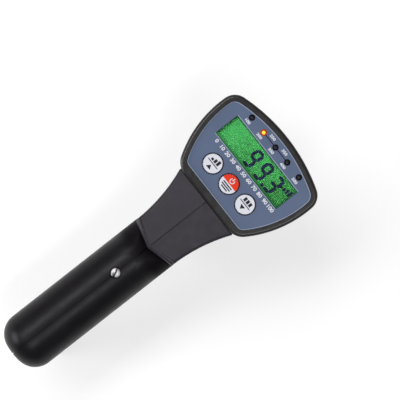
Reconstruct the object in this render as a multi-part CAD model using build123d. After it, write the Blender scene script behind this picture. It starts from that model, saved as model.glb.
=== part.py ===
from build123d import *

import os
from math import acos, atan2, cos, degrees, hypot, radians, sin, sqrt, tan

# Hand-held indentation hardness tester with a digital display head.
# X runs from the grip to the display head, Y to the user's left, Z up from the tested surface.
# The origin is the tip of the indenter at rest, level with the feet. All sizes are in millimetres.

# Point sleeve, indenter and plunger
travel = 0.76
tip_flat_radius = 0.08
tip_cone_angle = 26.0
indenter_radius = 1.5
indenter_length = 13.0
sleeve_face_radius = 3.0
sleeve_radius = 6.35
sleeve_flat_width = 12.0
sleeve_nose_height = 7.0
sleeve_collar_height = 5.0
sleeve_thread_radius = 5.0
sleeve_thread_length = 14.0
lock_nut_width = 14.0
lock_nut_height = 4.0
plunger_radius = 3.0
plunger_bottom = 7.3
plunger_collar_height = 2.5
plunger_rise = 3.2
plunger_collar_gap = 0.2
spring_chamber_radius = 6.0
spring_length = 10.5
spring_wire = 1.3
spring_turns = 3.6
spring_side_gap = 0.4
guide_height = 7.0
guide_slot_width = 1.6
guide_slot_depth = 1.4
running_gap = 0.05
loose_gap = 0.3
seat_gap = 0.15

# Frame and lever gear
frame_bottom = 38.0
frame_height = 12.0
frame_half_width = 9.0
frame_plate = 3.5
frame_floor = 4.0
frame_rear_gap = 4.0
frame_channel_front = 8.0
frame_boss_radius = 8.0
rear_block_length = 20.0
mast_margin = 1.0
mast_slope = 3.0
fork_rise = 5.0
fork_rear = -24.0
lever_pivot_back = 14.0
lever_reach = 21.0
lever_thickness = 4.0
lever_width = 8.0
lever_hub_radius = 3.0
lever_tail = 3.0
lever_pad_radius = 1.4
lever_stud_radius = 2.2
lever_gap = 0.12
lever_pin_radius = 1.25
sensor_side = 11.0
sensor_height = 9.0
sensor_stem_radius = 1.25
sensor_tip_radius = 1.4
sensor_bore_depth = 6.0

# Rear leg
leg_back = 80.0
leg_thickness = 8.0
leg_bar = 7.0
leg_spread = 12.0
leg_stem_half_width = 7.0
leg_crotch = 19.0
leg_screw_radius = 2.0
leg_screw_head_radius = 3.5
leg_screw_head_height = 3.5
leg_screw_length = 27.0
leg_socket_radius = 1.5

# Grip shells
grip_half_width = 16.0
grip_bottom = 28.0
grip_height = 38.0
grip_wall = 2.0
grip_front = 0.0
grip_rear = -94.2
grip_front_round = 8.0
grip_rear_round = 12.0
spigot_step = 3.7
spigot_front = 12.0
parting_width = 0.45
parting_depth = 0.5
rib_thickness = 1.6
rib_places = (-30.0, -49.0, -68.0)

# Neck shells
neck_apex_x = -0.9
neck_corner_x = 3.4
neck_corner_half_width = 15.6
neck_front = 38.8
neck_flank_radius = 94.0
neck_ridge_rear = 70.5
neck_ridge_front = 73.0
neck_roof_slope = 7.0
neck_wall = 2.0
neck_end_wall = 4.6
neck_edge_round = 2.0
neck_inner_round = 0.4
neck_bottom_round = 7.0
neck_bevel_ridge = 2.2
neck_bevel_depth = 3.6
neck_bevel_drop = 2.6
neck_bevel_corner_drop = 3.4
neck_throat_radius = 22.0
neck_heel_step = 0.3
throat_below_lever = 0.38
nose_radius = 11.0
nose_lift = 0.3
neck_floor = 2.0
neck_seam_height = 11.0
collar_half_width = 14.5
collar_above_base = 3.5
collar_below_top = 4.5
collar_wall = 2.0
collar_flange = 1.8

# Display head
head_rear = 39.0
head_front = 94.2
head_half_width = 37.45
head_widest_x = 78.0
head_front_radius = 100.0
head_side_radius = 64.0
head_corner_radius = 9.0
head_neck_corner_radius = 10.0
head_top = 74.0
head_depth = 24.0
cover_depth = 12.0
head_wall = 2.2
head_draft = 3.0
rim_round = 1.8
back_round = 3.0
panel_margin = 3.6
panel_rear = 43.5
panel_corner_radius = 4.0
recess_depth = 1.3
overlay_thickness = 0.5
window_x = 73.75
window_width = 14.3
window_end_margin = 11.45
window_lip = 0.4
lens_thickness = 2.0
lcd_margin = 1.9
lcd_gap = 0.1
lcd_glass = 2.0
board_thickness = 1.6
board_below_deck = 4.1
board_margin = 0.6
board_rear = 45.2

# Keys, switches and indicator lamps
key_x = 54.3
key_pitch = 13.85
key_radius = 5.45
key_hole_radius = 5.9
key_flange_radius = 6.5
key_flange_thickness = 1.2
key_proud = 0.45
key_edge = 0.3
key_travel = 0.5
key_stem_radius = 1.7
switch_side = 6.0
lamp_x = 85.8
lamp_pitch = 10.1
lamp_count = 5
lamp_radius = 1.5
lamp_hole_radius = 1.7
lamp_proud = 0.2

# Battery bay in the back cover
cell_radius = 5.25
cell_length = 44.5
cell_pitch = 10.7
cell_cap_radius = 1.9
cell_cap_length = 0.9
contact_plate = 0.4
contact_bump = 1.35
contact_radius = 3.2
contact_margin = 0.6
bay_wall = 2.0
bay_rear = 64.3
door_thickness = 2.0
door_ledge = 1.2
door_corner_radius = 2.5
door_gap = 0.2
door_screw_back = 4.0
door_screw_length = 5.0
door_post_height = 6.0
door_tab_length = 12.0
door_tab_half_width = 6.0
door_groove_count = 3
door_groove_pitch = 2.4
door_groove_width = 1.0

# Screws
grip_screw_head_radius = 2.75
grip_screw_head_height = 2.2
grip_screw_radius = 1.5
grip_screw_recess_radius = 3.1
grip_screw_boss_radius = 4.2
top_screw_x = -22.7
top_screw_sink = 0.9
side_screw_x = -39.0
side_screw_z = 46.0
side_screw_sink = 0.5
neck_screw_x = 33.0
neck_screw_shares = (0.366, 0.663)
neck_screw_sink = 3.4
neck_screw_length = 20.0
neck_screw_post_radius = 3.2
case_screw_radius = 1.25
case_screw_head_radius = 2.3
case_screw_head_height = 1.8
case_screw_boss_radius = 3.0
case_screw_sink = 6.0
case_screw_bite = 3.2
case_screw_rear_x = 49.4
case_screw_rear_margin = 14.45
case_screw_front_x = 82.2
case_screw_front_margin = 6.45
slot_share_width = 0.28
slot_share_depth = 0.5
thread_engagement = 3.2

# Heights on the measuring axis
sleeve_face = travel
sleeve_collar = sleeve_face + sleeve_nose_height
sleeve_shoulder = sleeve_collar + sleeve_collar_height
frame_boss_bottom = sleeve_shoulder + lock_nut_height
sleeve_top = sleeve_shoulder + sleeve_thread_length
spring_bottom = sleeve_top + plunger_collar_height
guide_bottom = spring_bottom + spring_length
guide_top = guide_bottom + guide_height
plunger_top = guide_top + plunger_rise
lever_bottom = plunger_top + lever_gap
lever_top = lever_bottom + lever_thickness
lever_pivot_z = lever_bottom + lever_thickness / 2
frame_top = frame_bottom + frame_height
fork_top = frame_top + fork_rise
fork_inner = frame_half_width - frame_plate
sensor_rise = travel * (lever_pivot_back + lever_reach) / lever_pivot_back
sensor_bottom = lever_top + lever_gap + 2 * sensor_tip_radius + sensor_rise + loose_gap
sensor_top = sensor_bottom + sensor_height
throat_bottom = lever_bottom - throat_below_lever
neck_middle = (throat_bottom + neck_ridge_rear) / 2
grip_top = grip_bottom + grip_height
grip_middle = grip_bottom + grip_height / 2
nose_top = frame_bottom - loose_gap
nose_bottom = frame_boss_bottom + nose_lift
frame_rear = grip_rear + frame_rear_gap

# Heights in the display head
head_bottom = head_top - head_depth
head_split = head_bottom + cover_depth
collar_low = head_bottom + collar_above_base
collar_high = head_top - collar_below_top
recess_floor = head_top - recess_depth
panel_top = recess_floor + overlay_thickness
deck_bottom = recess_floor - lens_thickness
board_top = deck_bottom - board_below_deck
board_bottom = board_top - board_thickness
cover_floor = head_bottom + door_thickness
draft_shift = cover_depth * tan(radians(head_draft))
window_half_length = head_half_width - window_end_margin
key_places = {"key_up": key_pitch, "key_power": 0.0, "key_down": -key_pitch}
lamp_places = [lamp_pitch * (n - (lamp_count - 1) / 2) for n in range(lamp_count)]

# Battery bay limits
cell_z = cover_floor + cell_radius + door_gap
cell_rear_x = bay_rear + door_gap + cell_radius
cell_places = (cell_rear_x, cell_rear_x + cell_pitch)
bay_front = cell_places[1] + cell_radius + door_gap
bay_top = cell_z + cell_radius + door_gap
bay_half_length = cell_length / 2 + contact_bump + contact_plate
door_screw_x = bay_rear - door_screw_back

middle_low = (Align.CENTER, Align.CENTER, Align.MIN)


def block(x_span, y_span, z_span):
    """Straight block between pairs of limits."""
    spans = (x_span, y_span, z_span)
    size = [high - low for low, high in spans]
    centre = [(low + high) / 2 for low, high in spans]
    return Pos(*centre) * Box(*size)


def upright(radius, low, high, x=0.0, y=0.0):
    """Round bar along Z between two heights."""
    return Pos(x, y, low) * Cylinder(radius, high - low, align=middle_low)


def crosswise(radius, y_from, y_to, x, z):
    """Round bar along Y from y_from to the larger y_to."""
    return Pos(x, y_from, z) * Rot(-90, 0, 0) * Cylinder(radius, y_to - y_from, align=middle_low)


def turned(outline):
    """Solid turned about Z from a closed outline of radius and height pairs."""
    return revolve(make_face(Plane.XZ * Polyline(*outline, close=True)), axis=Axis.Z)


def side_plate(outline, y_from, y_to):
    """Plate with an outline in X and Z, between two values of y."""
    face = make_face(Plane.XZ * Polyline(*outline, close=True))
    return Pos(0, y_to, 0) * extrude(face, amount=y_to - y_from)


def one_side(solid, side):
    """The part of a solid to the left (side 1) or right (side -1) of the parting plane."""
    reach = 2 * (head_front - grip_rear)
    y_span = (0, reach) if side > 0 else (-reach, 0)
    return solid & block((-reach, reach), y_span, (-reach, reach))


def slotted_screw(head_radius, head_height, shank_radius, length):
    """Cheese head screw along Z with its shank downwards and the top of its head at z=0."""
    head = upright(head_radius, -head_height, 0)
    head = chamfer(head.faces().sort_by(Axis.Z)[-1].edges(), head_height / 8)
    screw = head + upright(shank_radius, -head_height - length, -head_height)
    slot = head_radius * slot_share_width / 2
    depth = head_height * slot_share_depth
    return screw - block((-head_radius, head_radius), (-slot, slot), (-depth, 1))


# Measuring gear


def point_sleeve():
    """Conical nose and collar with two spanner flats, on a thread that is bored for the plunger."""
    cone = tan(radians(tip_cone_angle / 2))
    nose_bore = indenter_radius + running_gap
    bore = plunger_radius + running_gap
    sleeve = turned([
        (nose_bore, sleeve_face),
        (sleeve_face_radius, sleeve_face),
        (sleeve_radius, sleeve_collar),
        (sleeve_radius, sleeve_shoulder),
        (sleeve_thread_radius, sleeve_shoulder),
        (sleeve_thread_radius, sleeve_top),
        (bore, sleeve_top),
        (bore, plunger_bottom - cone),
        (nose_bore, plunger_bottom - cone),
    ])
    flat = sleeve_flat_width / 2
    for side in (-1, 1):
        y_span = sorted((side * flat, side * 2 * sleeve_radius))
        x_span = (-2 * sleeve_radius, 2 * sleeve_radius)
        sleeve -= block(x_span, y_span, (sleeve_collar, sleeve_shoulder))
    return sleeve


def sleeve_lock_nut():
    """Hexagon nut on the sleeve's thread, tight under the frame's boss."""
    hexagon = RegularPolygon(lock_nut_width / 2, 6, major_radius=False)
    nut = extrude(Pos(0, 0, sleeve_shoulder) * hexagon, amount=lock_nut_height)
    return nut - upright(sleeve_thread_radius, sleeve_shoulder, frame_boss_bottom)


def indenter_point():
    """Truncated cone on a hardened shank."""
    cone_height = (indenter_radius - tip_flat_radius) / tan(radians(tip_cone_angle / 2))
    return turned([
        (0, 0),
        (tip_flat_radius, 0),
        (indenter_radius, cone_height),
        (indenter_radius, indenter_length),
        (0, indenter_length),
    ])


def plunger():
    """Spindle with the spring's collar, bored from below for the indenter point."""
    spindle = turned([
        (0, plunger_bottom),
        (plunger_radius, plunger_bottom),
        (plunger_radius, sleeve_top),
        (spring_chamber_radius - plunger_collar_gap, sleeve_top),
        (spring_chamber_radius - plunger_collar_gap, spring_bottom),
        (plunger_radius, spring_bottom),
        (plunger_radius, plunger_top - plunger_radius / 3),
        (plunger_radius * 2 / 3, plunger_top),
        (0, plunger_top),
    ])
    return spindle - upright(indenter_radius, 0, indenter_length)


def load_spring():
    """Square wire spring between the plunger's collar and the guide."""
    height = spring_length - spring_wire - 2 * running_gap
    mean_radius = spring_chamber_radius - spring_side_gap - spring_wire / 2
    coil = Helix(pitch=height / spring_turns, height=height, radius=mean_radius)
    section = Plane(coil @ 0, x_dir=(1, 0, 0), z_dir=coil % 0) * Rectangle(spring_wire, spring_wire)
    wire = sweep(section, path=coil, is_frenet=True)
    return Pos(0, 0, spring_bottom + spring_wire / 2 + running_gap) * wire


def plunger_guide():
    """Threaded guide that sets the spring, with a slot for a face spanner."""
    guide = upright(spring_chamber_radius, guide_bottom, guide_top)
    guide -= upright(plunger_radius + running_gap, guide_bottom, guide_top)
    slot = guide_slot_width / 2
    reach = 2 * spring_chamber_radius
    return guide - block((-reach, reach), (-slot, slot), (guide_top - guide_slot_depth, guide_top + 1))


def lever():
    """Rocker that multiplies the plunger's rise, with a pad over the plunger and one under the sensor."""
    front = lever_reach + lever_tail
    arm = block(
        (-lever_pivot_back, front),
        (-lever_width / 2, lever_width / 2),
        (lever_bottom + lever_thickness / 4, lever_top - lever_thickness / 4),
    )
    arm += crosswise(lever_hub_radius, -lever_width / 2, lever_width / 2, -lever_pivot_back, lever_pivot_z)
    arm += upright(lever_pad_radius, lever_bottom, lever_pivot_z)
    arm += upright(lever_stud_radius, lever_pivot_z, lever_top, x=lever_reach)
    bore = lever_pin_radius + running_gap
    return arm - crosswise(bore, -lever_width, lever_width, -lever_pivot_back, lever_pivot_z)


def lever_pin():
    """Pin pressed into both plates of the fork."""
    return crosswise(lever_pin_radius, -frame_half_width, frame_half_width, -lever_pivot_back, lever_pivot_z)


def sensor_body():
    """Displacement sensor block with a blind bore for its stem."""
    half = sensor_side / 2
    body = block((lever_reach - half, lever_reach + half), (-half, half), (sensor_bottom, sensor_top))
    body = chamfer(body.edges().filter_by(Axis.Z), sensor_side / 12)
    bore = upright(
        sensor_stem_radius + running_gap,
        sensor_bottom - 1,
        sensor_bottom + sensor_bore_depth,
        x=lever_reach,
    )
    thread = crosswise(case_screw_radius, -half - 1, thread_engagement - half, lever_reach, clamp_height())
    return body - bore - thread


def clamp_height():
    """Height of the screw that clamps the sensor, above the end of the stem's bore."""
    return sensor_top - sensor_side / 5


def sensor_stem():
    """Stem with a round tip that rides on the lever."""
    tip_z = lever_top + lever_gap + sensor_tip_radius
    stem_top = sensor_bottom + sensor_bore_depth - sensor_rise - loose_gap
    stem = Pos(lever_reach, 0, tip_z) * Sphere(sensor_tip_radius)
    return stem + upright(sensor_stem_radius, tip_z, stem_top, x=lever_reach)


def sensor_clamp_screw():
    """Screw through the right plate into the sensor block."""
    length = frame_plate + thread_engagement
    screw = slotted_screw(case_screw_head_radius, case_screw_head_height, case_screw_radius, length)
    place = Pos(lever_reach, -frame_half_width - case_screw_head_height, clamp_height())
    return place * Rot(90, 0, 0) * screw


# Frame and leg


def frame():
    """Steel channel with the measuring boss, the lever's fork and a block that carries the leg."""
    half_sensor = sensor_side / 2
    mast_rear = lever_reach - half_sensor
    mast_front = lever_reach + half_sensor + mast_margin
    throat_top = throat_bottom + neck_wall + loose_gap
    outline = [
        (frame_rear, frame_bottom),
        (frame_channel_front, frame_bottom),
        (frame_channel_front, frame_bottom + frame_height / 2),
        (spigot_front, frame_top),
        (mast_front, throat_top),
        (mast_front, sensor_top),
        (mast_rear, sensor_top),
        (mast_rear - mast_slope, fork_top),
        (fork_rear + fork_rise, fork_top),
        (fork_rear, frame_top),
        (frame_rear, frame_top),
    ]
    body = side_plate(outline, fork_inner, frame_half_width)
    body += side_plate(outline, -frame_half_width, -fork_inner)
    floor_top = frame_bottom + frame_floor
    inner = (-fork_inner, fork_inner)
    body += block((frame_rear, frame_channel_front), inner, (frame_bottom, floor_top))
    body += block((frame_rear, frame_rear + rear_block_length), inner, (frame_bottom, frame_top))
    web = grip_screw_boss_radius
    body += block((top_screw_x - web, top_screw_x + web), inner, (frame_bottom, frame_top))
    body += upright(frame_boss_radius, frame_boss_bottom, guide_top)
    body -= upright(sleeve_thread_radius, frame_boss_bottom - 1, sleeve_top)
    body -= upright(spring_chamber_radius, sleeve_top, guide_top + 1)
    body -= crosswise(lever_pin_radius, -frame_half_width, frame_half_width, -lever_pivot_back, lever_pivot_z)
    leg_top = frame_bottom + leg_screw_length - (frame_bottom - leg_crotch)
    body -= upright(leg_screw_radius, frame_bottom - 1, leg_top, x=-leg_back)
    top_low = grip_top - top_screw_sink - grip_screw_head_height - top_screw_length()
    body -= upright(grip_screw_radius, top_low, frame_top + 1, x=top_screw_x)
    body -= crosswise(
        grip_screw_radius, -frame_half_width - 1, frame_half_width + 1, side_screw_x, side_screw_z
    )
    body -= crosswise(case_screw_radius, -frame_half_width - 1, -fork_inner + 1, lever_reach, clamp_height())
    return body


def leg_fork():
    """Forked leg: a stem against the frame and two bars that splay to rounded feet."""
    foot = leg_bar / 2
    root = leg_crotch + foot
    bars = Rectangle(2 * leg_stem_half_width, frame_bottom - root, align=(Align.CENTER, Align.MIN))
    profile = Pos(0, root) * bars
    for side in (-1, 1):
        start = (side * (leg_stem_half_width - foot), root)
        end = (side * leg_spread, foot)
        centre = Pos((start[0] + end[0]) / 2, (start[1] + end[1]) / 2)
        run = hypot(end[0] - start[0], end[1] - start[1])
        tilt = degrees(atan2(end[1] - start[1], end[0] - start[0]))
        profile += centre * SlotCenterToCenter(run, leg_bar, rotation=tilt)
    profile += Pos(0, root) * Rectangle(2 * (leg_stem_half_width - foot), leg_bar)
    plane = Plane.YZ.offset(-leg_back - leg_thickness / 2)
    leg = extrude(plane * profile, amount=leg_thickness)
    feet = leg.edges().filter_by(lambda edge: edge.center().Z < foot and edge.geom_type == GeomType.CIRCLE)
    leg = fillet(feet, foot / 2)
    leg -= upright(leg_screw_head_radius + seat_gap, 0, leg_crotch, x=-leg_back)
    return leg - upright(leg_screw_radius, 0, frame_bottom + 1, x=-leg_back)


def leg_screw():
    """Socket head screw that draws the leg against the frame."""
    head = upright(leg_screw_head_radius, 0, leg_screw_head_height)
    socket = RegularPolygon(leg_socket_radius, 6, major_radius=False)
    head -= extrude(socket, amount=leg_screw_head_height / 2)
    screw = head + upright(leg_screw_radius, leg_screw_head_height, leg_screw_head_height + leg_screw_length)
    return Pos(-leg_back, 0, leg_crotch - leg_screw_head_height) * screw


# Grip shells


def grip_section(inset):
    """Upright oval section of the grip, moved inwards by inset."""
    return SlotOverall(grip_height - 2 * inset, 2 * (grip_half_width - inset), rotation=90)


def front_of_chevron(gap):
    """All that lies in front of the chevron where the neck meets the grip, moved back by gap."""
    wide = 2 * neck_corner_half_width
    apex = neck_apex_x - gap
    corner = apex + 2 * (neck_corner_x - neck_apex_x)
    outline = Polyline(
        (apex, 0), (corner, wide), (neck_front, wide), (neck_front, -wide), (corner, -wide), close=True
    )
    return extrude(make_face(outline), amount=2 * grip_top)


def shoulder_cut(inset, end):
    """What the grip lacks above its rounded front shoulder, across its whole width."""
    centre = Vector(grip_front - grip_front_round, grip_top - grip_front_round)
    radius = grip_front_round - inset
    fall = radius - spigot_step
    reach = sqrt(radius**2 - fall**2)
    turn = acos(fall / radius) / 2
    low = centre.Y + fall
    face = make_face([
        Plane.XZ * ThreePointArc(
            (centre.X, centre.Y + radius),
            (centre.X + radius * sin(turn), centre.Y + radius * cos(turn)),
            (centre.X + reach, low),
        ),
        Plane.XZ * Polyline(
            (centre.X + reach, low),
            (end + 1, low),
            (end + 1, grip_top + 1),
            (centre.X, grip_top + 1),
            (centre.X, centre.Y + radius),
        ),
    ])
    return Pos(0, 2 * grip_half_width, 0) * extrude(face, amount=4 * grip_half_width)


def grip_form(inset, end, front):
    """Grip with a rounded rear and a lowered shoulder to end, and the spigot to front, moved in by inset."""
    rear = grip_rear + inset
    section = grip_section(inset)
    body = extrude(Plane.YZ.offset(rear) * Pos(0, grip_middle) * section, amount=end - rear)
    body = fillet(body.faces().sort_by(Axis.X)[0].edges(), grip_rear_round - inset)
    body -= shoulder_cut(inset, end)
    start = grip_front - grip_front_round
    spigot = Plane.YZ.offset(start) * Pos(0, grip_middle) * grip_section(spigot_step + inset)
    spigot = extrude(spigot, amount=front - start)
    spigot &= block((start, front), (-grip_half_width, grip_half_width), (frame_bottom, grip_top))
    body -= front_of_chevron(seat_gap) - spigot
    return body + spigot


def top_screw_length():
    """Shank length that reaches through the frame's web to just above its floor."""
    head_low = grip_top - top_screw_sink - grip_screw_head_height
    return head_low - frame_bottom - frame_floor


def grip_shell(side):
    """Moulded half of the grip with ribs that cradle the frame and bosses for its screws."""
    end = neck_corner_x + 1
    outer = grip_form(0, end, spigot_front)
    inner = grip_form(grip_wall, neck_apex_x - grip_wall, spigot_front + 1)
    shell = outer - inner
    width = (-grip_half_width, grip_half_width)
    for place in rib_places:
        x_span = (place - rib_thickness / 2, place + rib_thickness / 2)
        shell += inner & block(x_span, width, (grip_bottom, frame_top))
    floor_z = grip_top - top_screw_sink - grip_screw_head_height
    post = upright(grip_screw_boss_radius, frame_top, grip_top, x=top_screw_x)
    shell += post & outer
    side_floor = grip_half_width - side_screw_sink - grip_screw_head_height
    for hand in (-1, 1):
        span = sorted((hand * frame_half_width, hand * grip_half_width))
        shell += crosswise(grip_screw_boss_radius, *span, side_screw_x, side_screw_z) & outer
        span = sorted((hand * side_floor, hand * (grip_half_width + 1)))
        shell -= crosswise(grip_screw_recess_radius, *span, side_screw_x, side_screw_z)
        span = sorted((hand * (frame_half_width - 1), hand * grip_half_width))
        shell -= crosswise(grip_screw_radius, *span, side_screw_x, side_screw_z)
    shell -= upright(grip_screw_recess_radius, floor_z, grip_top + 1, x=top_screw_x)
    shell -= upright(grip_screw_radius, frame_top - 1, floor_z + 1, x=top_screw_x)
    frame_y = (-frame_half_width, frame_half_width)
    shell -= block((frame_rear, spigot_front), frame_y, (frame_bottom, frame_top))
    shell -= upright(nose_radius + seat_gap, 0, frame_bottom)
    slot = leg_thickness / 2 + seat_gap
    slot_y = leg_stem_half_width + seat_gap
    shell -= block((-leg_back - slot, -leg_back + slot), (-slot_y, slot_y), (0, frame_bottom))
    seam = block((grip_rear - 1, spigot_front), (-parting_width / 2, parting_width / 2), (0, 2 * grip_top))
    shell -= seam - grip_form(parting_depth, end, spigot_front)
    return one_side(shell, side)


def top_screw():
    """Slotted screw that draws both grip shells to the frame at the parting line."""
    screw = slotted_screw(
        grip_screw_head_radius, grip_screw_head_height, grip_screw_radius, top_screw_length()
    )
    return Pos(top_screw_x, 0, grip_top - top_screw_sink) * screw


def side_screws():
    """One slotted screw in each side of the grip, into the frame's plates."""
    head_out = grip_half_width - side_screw_sink
    length = head_out - grip_screw_head_height - frame_half_width + thread_engagement
    screw = slotted_screw(grip_screw_head_radius, grip_screw_head_height, grip_screw_radius, length)
    left = Pos(side_screw_x, head_out, side_screw_z) * Rot(-90, 0, 0) * screw
    right = Pos(side_screw_x, -head_out, side_screw_z) * Rot(90, 0, 0) * screw
    return Compound([left, right])


# Neck shells


def flank(x, inset):
    """Half-width of the neck at x, moved inwards by inset."""
    run = x - neck_corner_x
    radius = neck_flank_radius
    return neck_corner_half_width - inset + radius - sqrt(radius**2 - run**2)


def ridge(x):
    """Height of the neck's ridge at x."""
    share = (x - neck_apex_x) / (neck_front - neck_apex_x)
    return neck_ridge_rear + share * (neck_ridge_front - neck_ridge_rear)


def neck_screw_heights():
    """Heights of the neck screws, shared out between the throat and the ridge."""
    span = ridge(neck_screw_x) - throat_bottom
    return [throat_bottom + share * span for share in neck_screw_shares]


def neck_plan(inset, front):
    """Plan of the neck: a chevron at the grip and concave flanks that widen to the head."""
    middle = (neck_corner_x + front) / 2
    edges = []
    for side in (-1, 1):
        corner = (neck_corner_x, side * flank(neck_corner_x, inset))
        waist = (middle, side * flank(middle, inset))
        end = (front, side * flank(front, inset))
        edges.append(Line((neck_apex_x, 0), corner))
        edges.append(ThreePointArc(corner, waist, end))
    edges.append(Line((front, flank(front, inset)), (front, -flank(front, inset))))
    return make_face(edges)


def neck_form(inset):
    """Neck without its nose: plan, side view and gabled roof cut into each other."""
    front = neck_front - inset
    tall = 2 * neck_ridge_front
    body = extrude(neck_plan(inset, front), amount=tall)
    throat_z = throat_bottom + inset
    radius = neck_throat_radius + inset
    heel = nose_radius + neck_heel_step - inset
    centre_z = throat_z - radius
    low = max(grip_bottom + inset, centre_z)
    start = heel + radius - sqrt(radius**2 - (low - centre_z) ** 2)
    bend = radius * (1 - cos(radians(45)))
    side_view = make_face([
        Plane.XZ * Line((neck_apex_x - 1, low), (start, low)),
        Plane.XZ * ThreePointArc((start, low), (heel + bend, throat_z - bend), (heel + radius, throat_z)),
        Plane.XZ * Polyline(
            (heel + radius, throat_z),
            (front + 1, throat_z),
            (front + 1, tall),
            (neck_apex_x - 1, tall),
            (neck_apex_x - 1, low),
        ),
    ])
    wide = 3 * neck_corner_half_width
    body &= Pos(0, wide, 0) * extrude(side_view, amount=2 * wide)
    lowered = inset / cos(radians(neck_roof_slope))
    eaves = ridge(neck_apex_x) - lowered - wide * tan(radians(neck_roof_slope))
    peak = ridge(neck_apex_x) - lowered
    gable = Plane.YZ.offset(neck_apex_x) * Polyline(
        (0, peak), (wide, eaves), (wide, 0), (-wide, 0), (-wide, eaves), close=True
    )
    slope = (neck_front - neck_apex_x, 0, neck_ridge_front - neck_ridge_rear)
    length = hypot(slope[0], slope[2])
    body &= extrude(make_face(gable), amount=length, dir=slope)

    def runs_along_flank(edge):
        return edge.position_at(0).Y * edge.position_at(1).Y > neck_corner_half_width

    long_edges = body.edges().filter_by(runs_along_flank).filter_by(Axis.Z, reverse=True)
    bottom = long_edges.filter_by(lambda edge: edge.center().Z < neck_middle)
    body = fillet(bottom, neck_bottom_round - 2 * inset)
    long_edges = body.edges().filter_by(runs_along_flank).filter_by(Axis.Z, reverse=True)
    top = long_edges.filter_by(lambda edge: edge.center().Z > neck_middle)
    return fillet(top, max(neck_edge_round - inset, neck_inner_round))


def chevron_bevel(side):
    """Wedge that bevels one half of the chevron's top edge."""
    corner_width = neck_corner_half_width
    foot_apex = Vector(neck_apex_x, 0, ridge(neck_apex_x) - neck_bevel_drop)
    drop = corner_width * tan(radians(neck_roof_slope)) + neck_bevel_corner_drop
    foot_corner = Vector(neck_corner_x, side * corner_width, ridge(neck_corner_x) - drop)
    head_apex = Vector(neck_apex_x + neck_bevel_ridge, 0, ridge(neck_apex_x + neck_bevel_ridge))
    across = foot_corner - foot_apex
    upward = head_apex - foot_apex
    normal = across.cross(upward).normalized()
    if normal.Z < 0:
        normal = -normal
    plane = Plane(foot_apex, x_dir=across, z_dir=normal)
    return plane * Pos(0, 0, neck_bevel_depth) * Box(
        6 * corner_width, 6 * neck_bevel_depth, 2 * neck_bevel_depth
    )


def neck_shell(side):
    """Moulded half of the neck: skin, nose round the frame's boss and the collar that the head grips."""
    body = neck_form(0)
    body -= one_side(chevron_bevel(1), 1)
    body -= one_side(chevron_bevel(-1), -1)
    cavity_rear = neck_corner_x + neck_end_wall
    wide = (-2 * head_half_width, 2 * head_half_width)
    cavity = neck_form(neck_wall) & block((cavity_rear, neck_front), wide, (frame_bottom - neck_floor, neck_ridge_front))
    body -= cavity
    opening = grip_section(spigot_step - seat_gap)
    opening = Plane.YZ.offset(neck_apex_x - 1) * Pos(0, grip_middle) * opening
    opening = extrude(opening, amount=spigot_front + 1 - neck_apex_x)
    body -= opening & block((neck_apex_x - 1, neck_front), wide, (nose_top, grip_top))
    body += upright(nose_radius, nose_bottom, nose_top) & one_side(upright(nose_radius, 0, nose_top), side)
    collar_end = head_rear + head_wall + draft_shift + seat_gap + collar_wall
    inside = collar_half_width - collar_wall
    hole_z = (collar_low + collar_wall, collar_high - collar_wall)
    y_span = (-collar_half_width, collar_half_width)
    body += block((neck_front - neck_wall, collar_end), y_span, (collar_low, collar_high))
    rim_y = (-collar_half_width - collar_flange, collar_half_width + collar_flange)
    rim_z = (collar_low - collar_flange * 0.5, collar_high + collar_flange * 0.5)
    body += block((collar_end - collar_wall, collar_end), rim_y, rim_z)
    body -= block((neck_front - neck_wall - 1, collar_end + 1), (-inside, inside), hole_z)
    outer = neck_form(0)
    for z in neck_screw_heights():
        post = crosswise(
            neck_screw_post_radius, -2 * collar_half_width, 2 * collar_half_width, neck_screw_x, z
        )
        body += post & outer
        head_floor = -flank(neck_screw_x, 0) + neck_screw_sink
        recess = case_screw_head_radius + seat_gap
        body -= crosswise(recess, -2 * head_half_width, head_floor, neck_screw_x, z)
        body -= crosswise(case_screw_radius, head_floor - 1, head_floor + neck_screw_length, neck_screw_x, z)
    body -= upright(frame_boss_radius + seat_gap, 0, frame_top)
    seam = block(
        (neck_apex_x - 1, neck_front + 1),
        (-parting_width / 2, parting_width / 2),
        (neck_ridge_front - neck_seam_height, 2 * head_top),
    )
    body -= seam - Pos(0, 0, -parting_depth) * outer
    return one_side(body, side)


def neck_screws():
    """Two slotted screws that join the neck shells from the right."""
    length = neck_screw_length - loose_gap
    screw = slotted_screw(case_screw_head_radius, case_screw_head_height, case_screw_radius, length)
    y = -flank(neck_screw_x, 0) + neck_screw_sink - case_screw_head_height
    return Compound([Pos(neck_screw_x, y, z) * Rot(90, 0, 0) * screw for z in neck_screw_heights()])


# Display head


def circles_meet(centre_a, radius_a, centre_b, radius_b):
    """Crossing of two circles that lies further to the left."""
    along = centre_b - centre_a
    span = along.length
    reach = (radius_a**2 - radius_b**2 + span**2) / (2 * span)
    height = sqrt(radius_a**2 - reach**2)
    foot = centre_a + along.normalized() * reach
    aside = Vector(-along.Y, along.X).normalized() * height
    return max(foot + aside, foot - aside, key=lambda point: point.Y)


def arc_about(centre, start, end):
    """Arc about a centre from start to end."""
    middle = ((start - centre).normalized() + (end - centre).normalized()).normalized()
    return ThreePointArc(start, centre + middle * (start - centre).length, end)


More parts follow.
